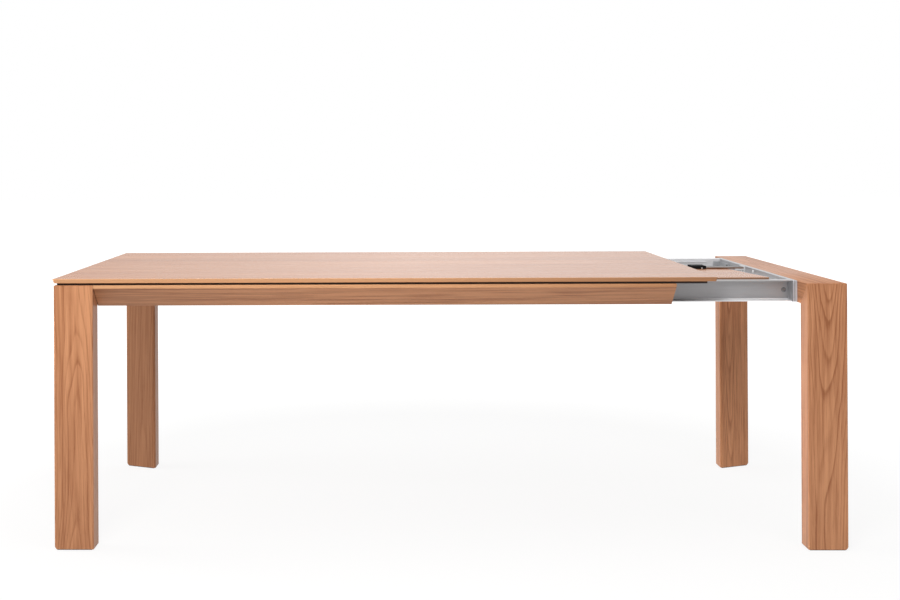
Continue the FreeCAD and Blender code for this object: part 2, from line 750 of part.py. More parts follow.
def build():
    top_holes = both_sides(front_top_screw_holes())
    fixed = (X_FIXED, -1, Z_FRAME)
    drawn = (X_DRAWN, 1, Z_DRAWN)
    nodes = {
        "tabletop": [tabletop().cut(top_holes + guide_screw_holes())],
        "bearer": [bearer()],
        "bearer_dowels": both_sides(front_dowels()),
        "corner_blocks": both_sides([front_corner_block()]),
        "top_screws": both_sides(front_top_screws()),
        "axles": both_sides([front_axle(x) for x in X_ROLLERS.values()]),
        "bar_guide": [bar_guide()],
        "guide_screws": guide_screws(),
        "cross_profile": [cross_profile()],
        "profile_caps": both_sides([front_cap()]),
        "profile_bolts": profile_bolts(),
        "channel_plugs": both_sides([front_plug()]),
        "angle_screws": both_sides(front_angle_screws()),
        "strap_screws": both_sides(front_strap_screws()),
        "leaf": [leaf()],
        "leaf_rests": [rest_block(x) for x in X_STRAPS.values()],
        "rest_screws": [rest_screw(x) for x in X_STRAPS.values()],
        "keeper_bar": [keeper_bar()],
        "bar_angle": [bar_angle()],
        "bar_screws": bar_screws(),
        "bar_block": [bar_block()],
        "block_screw": [block_screw()],
    }
    for name, x in X_STRAPS.items():
        nodes["strap_" + name] = [strap(x)]

    pairs = {
        "strip": front_strip().cut(front_top_screw_holes()),
        "apron": front_apron(),
        "channel": front_channel(),
        "corner_angle": front_corner_angle(),
    }
    for name, place in (("fixed", fixed), ("drawn", drawn)):
        rail = end_rail(*place)
        nodes[name + "_rail"] = [rail.cut(profile_bolt_holes()) if name == "drawn" else rail]
        nodes[name + "_tongues"] = both_sides([front_tongue(*place)])
        nodes[name + "_glides"] = both_sides([front_glide(*place[:2])])
        pairs[name + "_leg"] = front_leg(*place)
    for name, x in X_ROLLERS.items():
        pairs["roller_" + name] = front_roller(x)
    for name, shape in pairs.items():
        nodes[name + "_front"] = [shape]
        nodes[name + "_rear"] = [mirrored(shape)]
    return nodes


os.makedirs("parts", exist_ok=True)
for node, solids in build().items():
    shape = solids[0] if len(solids) == 1 else Part.makeCompound(solids)
    shape.exportStep("parts/" + node + ".step")
    print(node, len(shape.Solids), round(shape.Volume), shape.isValid())
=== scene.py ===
# %% [markdown]
# # An extending dining table
# An oak table whose right-hand end frame is drawn out on aluminium channels.
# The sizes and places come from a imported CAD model. This script gives that
# model its finish: softened edges, wood grain, drawn metal, turned screws,
# light and a camera. Each step says what the real piece is and why the
# method fits it. Lengths are in metres.

# %% Load the frame
import json
import math
import bmesh
import bpy
from mathutils import Matrix, Vector


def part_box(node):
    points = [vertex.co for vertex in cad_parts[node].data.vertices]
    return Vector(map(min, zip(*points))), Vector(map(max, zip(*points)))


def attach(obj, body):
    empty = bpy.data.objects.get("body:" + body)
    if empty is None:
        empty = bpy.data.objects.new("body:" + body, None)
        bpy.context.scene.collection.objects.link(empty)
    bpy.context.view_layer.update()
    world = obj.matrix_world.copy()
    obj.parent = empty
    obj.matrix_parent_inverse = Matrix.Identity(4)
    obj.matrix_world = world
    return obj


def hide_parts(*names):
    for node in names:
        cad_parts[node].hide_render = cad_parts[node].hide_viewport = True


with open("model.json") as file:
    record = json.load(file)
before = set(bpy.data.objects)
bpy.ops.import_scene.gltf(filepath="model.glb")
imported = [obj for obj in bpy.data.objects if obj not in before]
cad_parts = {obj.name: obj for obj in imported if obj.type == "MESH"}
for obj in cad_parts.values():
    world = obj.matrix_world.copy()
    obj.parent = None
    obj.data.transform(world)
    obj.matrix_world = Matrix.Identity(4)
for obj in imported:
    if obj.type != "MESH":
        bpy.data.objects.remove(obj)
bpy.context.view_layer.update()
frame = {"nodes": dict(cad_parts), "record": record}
body_of_node = {
    node: body
    for body, nodes in frame["record"]["behaviour"]["bodies"].items()
    for node in nodes
}
slot_of_node = {part["node"]: part["material_slot"] for part in frame["record"]["subparts"]}

# %% [markdown]
# ## Small tools for node trees
# Materials and Geometry Nodes are both trees of nodes. Making a node,
# setting its inputs and linking it takes three lines each time, so one
# helper does all three. A value that is itself a socket becomes a link.
# The other helpers are short names for the nodes that are used most.

# %% Node helpers
def add(tree, kind, inputs=None, **settings):
    node = tree.nodes.new(kind)
    for name, value in settings.items():
        setattr(node, name, value)
    for key, value in (inputs or {}).items():
        if isinstance(value, bpy.types.NodeSocket):
            tree.links.new(value, node.inputs[key])
        else:
            node.inputs[key].default_value = value
    return node


def sums(tree, operation, *values):
    return add(tree, "ShaderNodeMath", dict(enumerate(values)), operation=operation).outputs[0]


def vectors(tree, operation, *values):
    return add(tree, "ShaderNodeVectorMath", dict(enumerate(values)), operation=operation).outputs[0]


def split(tree, vector):
    return add(tree, "ShaderNodeSeparateXYZ", {0: vector}).outputs


def object_place(tree):
    return add(tree, "ShaderNodeTexCoord").outputs["Object"]


def remap(tree, value, low, high, to_low=0.0, to_high=1.0):
    inputs = {0: value, 1: low, 2: high, 3: to_low, 4: to_high}
    return add(tree, "ShaderNodeMapRange", inputs, clamp=True).outputs[0]


# %% Colour and noise helpers
def blend_colour(tree, factor, first, second, mode="MIX"):
    inputs = {0: factor, 6: first, 7: second}
    return add(tree, "ShaderNodeMix", inputs, data_type="RGBA", blend_type=mode).outputs[2]


def dimmed(tree, colour, level):
    grey = add(tree, "ShaderNodeCombineColor", {0: level, 1: level, 2: level}).outputs[0]
    return blend_colour(tree, 1.0, colour, grey, "MULTIPLY")


def stretched(tree, place, along, across):
    return vectors(tree, "MULTIPLY", place, (along, across, across))


def noise(tree, place, detail=2.0, rough=0.5):
    inputs = {"Vector": place, "Scale": 1.0, "Detail": detail, "Roughness": rough}
    return add(tree, "ShaderNodeTexNoise", inputs).outputs


def random_of(tree, number):
    return add(tree, "ShaderNodeTexWhiteNoise", {"W": number}, noise_dimensions="1D").outputs


# %% [markdown]
# ## Groups with named sockets
# A node group is a tree with its own inputs and outputs. Shader groups and
# Geometry Nodes trees name their sockets in the same way, so one helper
# starts both kinds.

# %% Start a group
def new_group(name, kind, inputs, outputs):
    group = bpy.data.node_groups.new(name, kind)
    for label, socket_kind, value in inputs:
        socket = group.interface.new_socket(label, in_out="INPUT", socket_type="NodeSocket" + socket_kind)
        if value is not None:
            socket.default_value = value
    for label, socket_kind in outputs:
        group.interface.new_socket(label, in_out="OUTPUT", socket_type="NodeSocket" + socket_kind)
    print("group:", name)
    return group, group.nodes.new("NodeGroupInput"), group.nodes.new("NodeGroupOutput")


# %% [markdown]
# ## Oak grain
# A board is a slice of a trunk, so its figure is a slice of nested rings.
# The group measures each point's distance from the heart of the tree, which
# runs along X, and turns that distance into rings. Each ring rises quickly
# to dark early wood and then fades: a high Ring fade leaves thin lines. A
# slow noise makes the trunk wander, and so a flat face shows arches. Finer
# noises, drawn out along the grain, give streaks, fibres and open pores, and
# Streak contrast sets how strong they look. It is one group because every
# wooden piece uses it with its own heart and tone.

# %% Oak grain sizes
# Waves per metre, along the grain and across it.
DRIFT_SCALE = (1.3, 7.0)
STREAK_SCALE = (1.6, 95.0)
FIBRE_SCALE = (7.0, 430.0)
CLOUD_SCALE = (0.7, 9.0)
PORE_SCALE = (30.0, 1300.0)
# Most values of a noise lie between these two.
MIDDLE = (0.3, 0.7)
# Where in a ring its rise ends and its fade begins, and how weak the weakest year is.
RING_RISE = 0.16
FADE_FROM = 0.1
WEAKEST_YEAR = 0.35
# The noise values between which a pore opens, and the share of pores that late wood keeps.
PORE_OPENS = (0.6, 0.7)
EARLY_ENOUGH = 0.6
LATE_PORES = 0.25
# How far each layer darkens the wood, or makes it paler.
MEAN_TONE = 0.195
STREAK_TONE = 0.205
FIBRE_TONE = 0.12
CLOUD_TONE = (-0.12, 0.2)
PORE_TONE = 0.3
# What fibres and pores do to the roughness, and what fibres and rings do to the height.
FIBRE_SHINE = (-0.04, 0.05)
PORE_SHINE = 0.2
FIBRE_HEIGHT = 0.25
RING_DEPTH = 0.3
oak_grain, start, end = new_group(
    "Oak grain",
    "ShaderNodeTree",
    [
        ("Place", "Vector", None),
        ("Ring gap", "Float", 0.006),
        ("Wander", "Float", 0.03),
        ("Figure", "Float", 0.6),
        ("Ring fade", "Float", 1.6),
        ("Streak contrast", "Float", 1.0),
        ("Sheen blur", "Float", 0.4),
        ("Pale wood", "Color", (0.6, 0.28, 0.15, 1)),
        ("Dark wood", "Color", (0.3, 0.11, 0.05, 1)),
    ],
    [("Colour", "Color"), ("Roughness", "Float"), ("Height", "Float")],
)
given = start.outputs
place = given["Place"]
tree = oak_grain

# %% Rings
drift = noise(tree, stretched(tree, place, *DRIFT_SCALE), 2.5)["Color"]
centred = vectors(tree, "SUBTRACT", drift, (0.5, 0.5, 0.5))
swing = add(tree, "ShaderNodeVectorMath", {0: centred, "Scale": given["Wander"]}, operation="SCALE")
bent = split(tree, vectors(tree, "ADD", place, swing.outputs[0]))
across = sums(tree, "POWER", bent["Y"], 2.0)
deep = sums(tree, "POWER", bent["Z"], 2.0)
radius = sums(tree, "SQRT", sums(tree, "ADD", across, deep))
rings = sums(tree, "DIVIDE", radius, given["Ring gap"])
turn = sums(tree, "FRACT", rings)
year = random_of(tree, sums(tree, "FLOOR", rings))["Value"]
rise = remap(tree, turn, 0.0, RING_RISE)
fall = sums(tree, "POWER", remap(tree, turn, FADE_FROM, 1.0, 1.0, 0.0), given["Ring fade"])
early = sums(tree, "MULTIPLY", rise, fall)
early = sums(tree, "MULTIPLY", early, remap(tree, year, 0.0, 1.0, WEAKEST_YEAR, 1.0))
print("rings:", len(tree.nodes), "nodes so far")

# %% Streaks, fibres and pores
streak = noise(tree, stretched(tree, place, *STREAK_SCALE), 3.0, 0.55)[0]
fibre = noise(tree, stretched(tree, place, *FIBRE_SCALE), 3.0, 0.6)[0]
cloud = noise(tree, stretched(tree, place, *CLOUD_SCALE))[0]
pore = remap(tree, noise(tree, stretched(tree, place, *PORE_SCALE), 1.0)[0], *PORE_OPENS)
pore = sums(tree, "MULTIPLY", pore, remap(tree, early, 0.0, EARLY_ENOUGH, LATE_PORES, 1.0))
streak_tone = remap(tree, streak, *MIDDLE, -STREAK_TONE, STREAK_TONE)
fibre_tone = remap(tree, fibre, *MIDDLE, -FIBRE_TONE, FIBRE_TONE)
drawn = sums(tree, "ADD", streak_tone, fibre_tone)
tone = sums(tree, "MULTIPLY", early, given["Figure"])
tone = sums(tree, "ADD", tone, sums(tree, "MULTIPLY_ADD", drawn, given["Streak contrast"], MEAN_TONE))
tone = sums(tree, "ADD", tone, remap(tree, cloud, *MIDDLE, *CLOUD_TONE))
in_pores = {0: pore, 1: PORE_TONE, 2: tone}
tone = add(tree, "ShaderNodeMath", in_pores, operation="MULTIPLY_ADD", use_clamp=True).outputs[0]
tree.links.new(blend_colour(tree, tone, given["Pale wood"], given["Dark wood"]), end.inputs["Colour"])
shine = remap(tree, fibre, *MIDDLE, *FIBRE_SHINE)
shine = sums(tree, "ADD", shine, sums(tree, "MULTIPLY", pore, PORE_SHINE))
tree.links.new(sums(tree, "ADD", shine, given["Sheen blur"]), end.inputs["Roughness"])
hollow = sums(tree, "ADD", sums(tree, "MULTIPLY", early, RING_DEPTH), pore)
raised = sums(tree, "MULTIPLY", fibre, FIBRE_HEIGHT)
tree.links.new(sums(tree, "SUBTRACT", raised, hollow), end.inputs["Height"])
print("oak grain:", len(tree.nodes), "nodes")

# %% [markdown]
# ## Staves
# The broad top and the leaf are laid up from staves, each cut from another
# place in the board. The group slides the pattern along by a random step for
# each stave, and puts out a small change of tone and a fine joint line.

# %% Stave group
STAVE_SLIDE = (3.0, 0.05, 0.08)  # the longest steps along, across and in depth
JOINT_FROM = 0.494  # of a stave's width, counted from its middle
staves, start, end = new_group(
    "Staves",
    "ShaderNodeTree",
    [("Place", "Vector", None), ("Stave width", "Float", 0.11)],
    [("Place", "Vector"), ("Tone", "Float"), ("Joint", "Float")],
)
tree = staves
row = sums(tree, "DIVIDE", split(tree, start.outputs["Place"])["Y"], start.outputs["Stave width"])
pick = random_of(tree, sums(tree, "FLOOR", row))
slide = vectors(tree, "MULTIPLY", pick["Color"], STAVE_SLIDE)
tree.links.new(vectors(tree, "ADD", start.outputs["Place"], slide), end.inputs["Place"])
tree.links.new(pick["Value"], end.inputs["Tone"])
off_middle = sums(tree, "ABSOLUTE", sums(tree, "SUBTRACT", sums(tree, "FRACT", row), 0.5))
tree.links.new(remap(tree, off_middle, JOINT_FROM, 0.5), end.inputs["Joint"])
print("staves:", len(tree.nodes), "nodes")

# %% [markdown]
# ## Drawn metal and moulded plastic
# An extruded channel carries fine lines along its length, from the die, and
# faint cloudy marks from handling. A moulded part has a fine even skin. Both
# groups put out only roughness, height and a tint, so that any metal or
# plastic can use them with its own colour.

# %% Metal group
DIE_LINE_SCALE = 4.0  # waves per metre along a drawn line
HANDLING_SCALE = (9.0, 14.0)
MIDDLE_OF_TWO = (0.7, 1.3)  # most sums of two noises lie between these
METAL_TINT = (0.93, 1.04)
METAL_ROUGH = (0.32, 0.46)
drawn_metal, start, end = new_group(
    "Drawn metal",
    "ShaderNodeTree",
    [("Place", "Vector", None), ("Line scale", "Float", 900.0)],
    [("Tint", "Float"), ("Roughness", "Float"), ("Height", "Float")],
)
tree = drawn_metal
place = start.outputs["Place"]
fine = start.outputs["Line scale"]
scale = add(tree, "ShaderNodeCombineXYZ", {0: DIE_LINE_SCALE, 1: fine, 2: fine}).outputs[0]
lines = noise(tree, vectors(tree, "MULTIPLY", place, scale))[0]
cloud = noise(tree, stretched(tree, place, *HANDLING_SCALE), 3.0)[0]
marks = sums(tree, "ADD", lines, cloud)
tree.links.new(remap(tree, marks, *MIDDLE_OF_TWO, *METAL_TINT), end.inputs["Tint"])
tree.links.new(remap(tree, marks, *MIDDLE_OF_TWO, *METAL_ROUGH), end.inputs["Roughness"])
tree.links.new(lines, end.inputs["Height"])
print("drawn metal:", len(tree.nodes), "nodes")

# %% Plastic group
SKIN_SCALE = 1400.0
FLOW_SCALE = 40.0
PLASTIC_TINT = (0.85, 1.1)
PLASTIC_ROUGH = (0.42, 0.62)
moulded_skin, start, end = new_group(
    "Moulded skin",
    "ShaderNodeTree",
    [("Place", "Vector", None)],
    [("Tint", "Float"), ("Roughness", "Float"), ("Height", "Float")],
)
tree = moulded_skin
fine = noise(tree, stretched(tree, start.outputs["Place"], SKIN_SCALE, SKIN_SCALE))[0]
broad = noise(tree, stretched(tree, start.outputs["Place"], FLOW_SCALE, FLOW_SCALE))[0]
tree.links.new(remap(tree, broad, *MIDDLE, *PLASTIC_TINT), end.inputs["Tint"])
tree.links.new(remap(tree, fine, *MIDDLE, *PLASTIC_ROUGH), end.inputs["Roughness"])
tree.links.new(fine, end.inputs["Height"])
print("moulded skin:", len(tree.nodes), "nodes")

# %% [markdown]
# ## Wood finishes
# A leg's grain runs up, a rail's runs across and an apron's runs along. The
# pattern group always draws along X, so a Mapping node in each material
# turns the piece first. Its Location sets where the heart of the tree lies.
# A small extra tilt is what makes arches on a leg's broad face.
#
# Fades make a piece darker or paler along one axis of the object. They are
# painted light and shade: paler where the lamps on the left reach, darker away
# from them and in the shadow of a leg. The edge of the top and the band of each
# apron are lipped with a strip of paler wood, which also carries a painted
# highlight that is brightest on the left and fades to the right.

# %% Material helpers
TURNS = {"x": (0, 0, 0), "y": (0, 0, -math.pi / 2), "z": (0, math.pi / 2, 0)}
BUMP_STRENGTH = 0.5


def shaded(name):
    material = bpy.data.materials.new(name)
    material.use_nodes = True
    tree = material.node_tree
    tree.nodes.clear()
    surface = add(tree, "ShaderNodeBsdfPrincipled")
    out = add(tree, "ShaderNodeOutputMaterial")
    tree.links.new(surface.outputs[0], out.inputs["Surface"])
    return material, tree, surface


def use_group(tree, group, inputs):
    return add(tree, "ShaderNodeGroup", inputs, node_tree=group).outputs


def raise_bump(tree, surface, height, distance):
    inputs = {"Height": height, "Distance": distance, "Strength": BUMP_STRENGTH}
    tree.links.new(add(tree, "ShaderNodeBump", inputs).outputs[0], surface.inputs["Normal"])


# %% Oak tones and lipping
PALE_OAK = (0.660, 0.305, 0.150)
DARK_OAK = (0.345, 0.124, 0.050)
STAVE_TONES = (0.93, 1.05)
JOINT_COVER = 0.25
EDGE_STRIP_COVER = 0.7
EDGE_LIGHT_FALLOFF = (-0.2, 0.8)  # the painted light on the edge strip falls off between these places along X


def tinted(colour, shade):
    return tuple(c * shade for c in colour) + (1,)


# A strip along one edge whose colour changes along X: it carries the painted highlight of the top and
# aprons, and the painted shade of the leaf's edge.
def painted_edge_strip(tree, colour, where, axis, inner, outer, tones):
    band = remap(tree, sums(tree, "ABSOLUTE", where[axis]), inner, outer)
    strip = blend_colour(tree, remap(tree, where["X"], *EDGE_LIGHT_FALLOFF), *tones)
    return blend_colour(tree, sums(tree, "MULTIPLY", band, EDGE_STRIP_COVER), colour, strip)


# %% Oak material
def oak(name, along, heart, tilt=(0, 0), gap=0.0065, wander=0.03, figure=0.6, ring_fade=1.6, streaks=1.0,
        shade=1.0, blur=0.42, sheen=0.4, relief=0.0003, stave=None, edge_light_and_shade=None, light_fades=(), dull=None):
    material, tree, surface = shaded(name)
    coords = object_place(tree)
    where = split(tree, coords)
    turn = Vector(TURNS[along]) + Vector((0, tilt[0], tilt[1]))
    spot = add(tree, "ShaderNodeMapping", {"Vector": coords, "Location": heart, "Rotation": turn}).outputs[0]
    if stave:
        laid = use_group(tree, staves, {"Place": spot, "Stave width": stave})
        spot = laid["Place"]
    dark = tinted(DARK_OAK, shade)
    wood = use_group(tree, oak_grain, {
        "Place": spot,
        "Ring gap": gap,
        "Wander": wander,
        "Figure": figure,
        "Ring fade": ring_fade,
        "Streak contrast": streaks,
        "Sheen blur": blur,
        "Pale wood": tinted(PALE_OAK, shade),
        "Dark wood": dark,
    })
    colour = wood["Colour"]
    rough = wood["Roughness"]
    if stave:
        colour = dimmed(tree, colour, remap(tree, laid["Tone"], 0.0, 1.0, *STAVE_TONES))
        colour = blend_colour(tree, sums(tree, "MULTIPLY", laid["Joint"], JOINT_COVER), colour, dark)
    # painted light and shade: the colour is darkened or paled along one axis of the object
    for axis, *fade in light_fades:
        colour = dimmed(tree, colour, remap(tree, where[axis], *fade))
    # edge strip: painted highlight on the top and aprons, painted shade on the leaf
    if edge_light_and_shade:
        colour = painted_edge_strip(tree, colour, where, *edge_light_and_shade)
    if dull:
        axis, *fade = dull
        rough = sums(tree, "ADD", rough, remap(tree, where[axis], *fade))
    tree.links.new(colour, surface.inputs["Base Color"])
    tree.links.new(rough, surface.inputs["Roughness"])
    surface.inputs["Specular IOR Level"].default_value = sheen
    raise_bump(tree, surface, wood["Height"], relief)
    print("wood finish:", name)
    return material


# %% [markdown]
# ## The top, the leaf and the aprons
# The top and the leaf share a layout of broad staves, sanded flat and
# lacquered, so their relief is low and their shine is tighter. The leaf's
# front edge has a dark strip of painted shade. Each apron meets its leg in a
# fine dark line of painted shade, which is a fade of a few millimetres. The
# aprons also carry painted shadow from the left leg and painted light that
# falls off to the right, and the top is painted brighter at its left end.

# %% Top, leaf and aprons
# Edge strip tones from the left end to the right: paler wood with a painted highlight that falls off to the
# right.
TOP_LIPPING_AND_HIGHLIGHT = ((0.78, 0.42, 0.21, 1), (0.405, 0.190, 0.086, 1))
APRON_LIPPING_AND_HIGHLIGHT = ((0.725, 0.39, 0.195, 1), (0.385, 0.180, 0.082, 1))
# painted shade on the leaf's front edge
LEAF_EDGE_SHADE = ((0.19, 0.122, 0.085, 1), (0.19, 0.122, 0.085, 1))
TOP_STRIP = (0.0045, 0.0035)  # depth at which the lipping and its painted highlight begin, and at which they are full
LEAF_STRIP = (0.0009, 0.0006)
APRON_BAND = (0.7325, 0.7335)  # height at which the upright band begins
# width of the painted shade where an apron meets its leg
APRON_JOINT_SHADE = 0.004
top_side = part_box("tabletop")[1][1]
leaf_side = -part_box("leaf")[0][1]
apron_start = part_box("apron_front")[0][0]
# Painted light on the top: brighter at its left end, darker towards the right.
TOP_LIGHT_FADES = (("X", -0.2, 0.9, 1.0, 0.84), ("X", -1.11, -0.6, 1.15, 1.0))
# Painted shade in the joint with the leg, painted shadow of the leg at the left end, and painted light that
# falls off to the right.
APRON_LIGHT_AND_SHADE = (
    ("X", apron_start, apron_start + APRON_JOINT_SHADE, 0.3, 1.0),
    ("X", -1.0, -0.3, 0.82, 1.0),
    ("X", -0.2, 0.7, 1.0, 0.84),
)
SANDED = {"gap": 0.009, "figure": 0.35, "blur": 0.24, "relief": 0.0001, "stave": 0.125}
APRON_WOOD = {
    "gap": 0.005, "figure": 0.75, "streaks": 3.2, "shade": 1.16,
    "edge_light_and_shade": ("Z", *APRON_BAND, APRON_LIPPING_AND_HIGHLIGHT), "light_fades": APRON_LIGHT_AND_SHADE,
}
finish = {}
finish["tabletop"] = oak(
    "Oak top", "x", (0, 0.02, -0.70), (0.004, 0.01), sheen=0.33, **SANDED,
    edge_light_and_shade=("Y", top_side - TOP_STRIP[0], top_side - TOP_STRIP[1], TOP_LIPPING_AND_HIGHLIGHT), light_fades=TOP_LIGHT_FADES,
)
finish["leaf"] = oak(
    "Oak leaf", "x", (0.4, 0.01, -0.68), (0.006, -0.008), sheen=0.22, shade=0.92, **SANDED,
    edge_light_and_shade=("Y", leaf_side - LEAF_STRIP[0], leaf_side - LEAF_STRIP[1], LEAF_EDGE_SHADE),
)
finish["apron_front"] = oak("Oak front apron", "x", (0.2, 0.40, -0.80), (0.012, 0.01), **APRON_WOOD)
finish["apron_rear"] = oak("Oak rear apron", "x", (0.9, -0.40, -0.80), (-0.01, 0.01), **APRON_WOOD)

# %% [markdown]
# ## Legs, rails and inner wood
# Each leg comes from its own board. The two front legs have thin rings near
# the heart, whose arches close upwards on the left leg and downwards on the
# right one. The rear left leg is darkened with painted shadow, for the shade of
# the top, and its inner side is brightened back with painted light; the rear
# right leg is made paler with painted light. The drawn-out rail is duller
# towards its front end. The spacer strips are painted almost black, as painted
# shade for the shadow gap under the top, and the inner blocks are plain planed
# oak.

# %% Legs and rails
# Painted light on the rear left leg's inner side.
LIT_INNER_SIDE = ("X", -1.008, -1.004, 1.0, 1.45)
DULL_FRONT_END = ("Y", -0.5, -0.15, 0.25, 0.0)
finish["fixed_leg_front"] = oak(
    "Oak leg one", "z", (0.1, 0.445, -1.045), (0.012, -0.028), gap=0.0045, wander=0.05,
    figure=0.6, ring_fade=4.0, streaks=1.5,
)
# shade=0.62 is painted shadow: the whole leg is darkened for the shade of the top
finish["fixed_leg_rear"] = oak(
    "Oak leg two", "z", (0.6, -0.42, -1.06), (-0.02, 0.025), gap=0.006,
    figure=0.55, ring_fade=3.0, streaks=1.7, shade=0.62, light_fades=(LIT_INNER_SIDE,),
)
finish["drawn_leg_front"] = oak(
    "Oak leg three", "z", (1.1, 0.4144, 1.045), (-0.01, 0.03), gap=0.0045, wander=0.055,
    figure=0.9, ring_fade=4.0, streaks=1.6, shade=0.97,
)
# shade=1.2 is painted light on the rear right leg
finish["drawn_leg_rear"] = oak(
    "Oak leg four", "z", (1.7, -0.42, 1.05), (0.02, -0.03), gap=0.005,
    figure=0.75, ring_fade=3.0, streaks=1.7, shade=1.2,
)
finish["fixed_rail"] = oak(
    "Oak fixed rail", "y", (0.3, -1.05, -0.66), (0.02, 0.0), gap=0.007, blur=0.36, sheen=0.3,
)
finish["drawn_rail"] = oak(
    "Oak drawn rail", "y", (0.8, 1.05, -0.66), (0.02, 0.0), gap=0.007, blur=0.36, sheen=0.28,
    shade=0.94, dull=DULL_FRONT_END,
)

# %% Inner wood
# Painted shade: the spacer strips are made almost black for the shadow gap under the top.
SHADOW_GAP_SHADE = 0.03
PLANED_SHADE = 0.8
for node in ("strip_front", "strip_rear"):
    finish[node] = oak("Shade painted " + node.replace("_", " "), "x", (0, 0.4, -0.7), shade=SHADOW_GAP_SHADE)
plain_across = oak("Planed oak across", "y", (0.1, 0.5, -0.6), shade=PLANED_SHADE)
plain_along = oak("Planed oak along", "x", (0.5, 0.3, -0.6), shade=PLANED_SHADE)
plain_up = oak("Planed oak upright", "z", (0.5, 0.3, -0.6), shade=PLANED_SHADE)
for node in ("bearer", "bearer_dowels"):
    finish[node] = plain_across
for node in ("leaf_rests", "fixed_tongues", "drawn_tongues"):
    finish[node] = plain_along
finish["corner_blocks"] = plain_up
print("wooden nodes:", len(finish))

# %% [markdown]
# ## Metal and plastic finishes
# Anodised aluminium is a metal with a soft silver-grey colour and a blurred
# shine. The lower flange of each channel carries a painted highlight near its
# outer end, white and nearly without metal shine. The rear channel is the same
# aluminium painted lighter, for the light that falls on it. The keeper bar is
# mill aluminium whose front edge is painted dark brown, as painted shade with a
# painted reflection of the wood under it. Zinc plate and three kinds of screws
# differ in colour and shine. The plastics differ mostly in colour: black for
# the block, glides and stops, off-white for the rollers, and grey for the end
# caps, whose two moulded grooves are darkened with painted shade.

# %% Metal material
# Painted highlight on the lower flange of a channel.
FLANGE_HIGHLIGHT = (0.96, 0.96, 0.97, 1)
HIGHLIGHT_METALLIC = 0.05
HIGHLIGHT_FADE = 0.003  # height in which the painted highlight ends
HIGHLIGHT_ALONG = (0.68, 0.82)  # places along X between which it begins
# Painted shade, tinted as a painted reflection of the wood, on the keeper bar's front edge.
BAR_EDGE_SHADE = (0.17, 0.072, 0.036, 1)
BAR_EDGE_SHADE_FADE = 0.0004
METAL_RELIEF = 0.00005


def metal(name, colour, along="x", line_scale=900.0, metallic=0.75, rough_shift=0.0,
          highlight_below=None, edge_shade_before=None):
    material, tree, surface = shaded(name)
    coords = object_place(tree)
    where = split(tree, coords)
    spot = add(tree, "ShaderNodeMapping", {"Vector": coords, "Rotation": TURNS[along]}).outputs[0]
    marks = use_group(tree, drawn_metal, {"Place": spot, "Line scale": line_scale})
    colour = dimmed(tree, colour + (1,), marks["Tint"])
    surface.inputs["Metallic"].default_value = metallic
    # painted highlight: below this height the flange turns white and loses most of its metal shine
    if highlight_below:
        highlight = remap(tree, where["Z"], highlight_below, highlight_below + HIGHLIGHT_FADE, 1.0, 0.0)
        highlight = sums(tree, "MULTIPLY", highlight, remap(tree, where["X"], *HIGHLIGHT_ALONG))
        colour = blend_colour(tree, highlight, colour, FLANGE_HIGHLIGHT)
        lit_metallic = remap(tree, highlight, 0.0, 1.0, metallic, HIGHLIGHT_METALLIC)
        tree.links.new(lit_metallic, surface.inputs["Metallic"])
    # painted shade and a painted brown reflection of the wood on the bar's front edge
    if edge_shade_before:
        edge_shade = remap(tree, where["Y"], edge_shade_before, edge_shade_before + BAR_EDGE_SHADE_FADE, 1.0, 0.0)
        colour = blend_colour(tree, edge_shade, colour, BAR_EDGE_SHADE)
        tree.links.new(remap(tree, edge_shade, 0.0, 1.0, metallic, 0.0), surface.inputs["Metallic"])
    tree.links.new(colour, surface.inputs["Base Color"])
    tree.links.new(sums(tree, "ADD", marks["Roughness"], rough_shift), surface.inputs["Roughness"])
    raise_bump(tree, surface, marks["Height"], METAL_RELIEF)
    print("metal finish:", name)
    return material


# %% Plastic material
# Painted shade in the end cap's grooves: dark lines drawn into the colour.
GROOVE_SHADE = (0.05, 0.05, 0.055, 1)
GROOVE_SHADE_COVER = 0.7
GROOVE_SHADE_FLOOR = 0.6  # of its half width
PLASTIC_RELIEF = 0.0001


def plastic(name, colour, sheen=0.4, rough_shift=0.0, shaded_grooves=()):
    material, tree, surface = shaded(name)
    coords = object_place(tree)
    where = split(tree, coords)
    skin = use_group(tree, moulded_skin, {"Place": coords})
    colour = dimmed(tree, colour + (1,), skin["Tint"])
    # painted shade: a dark line in each groove
    for at, half in shaded_grooves:
        off = sums(tree, "ABSOLUTE", sums(tree, "SUBTRACT", where["X"], at))
        in_groove = remap(tree, off, half * GROOVE_SHADE_FLOOR, half, GROOVE_SHADE_COVER, 0.0)
        colour = blend_colour(tree, in_groove, colour, GROOVE_SHADE)
    tree.links.new(colour, surface.inputs["Base Color"])
    tree.links.new(sums(tree, "ADD", skin["Roughness"], rough_shift), surface.inputs["Roughness"])
    surface.inputs["Specular IOR Level"].default_value = sheen
    raise_bump(tree, surface, skin["Height"], PLASTIC_RELIEF)
    print("plastic finish:", name)
    return material


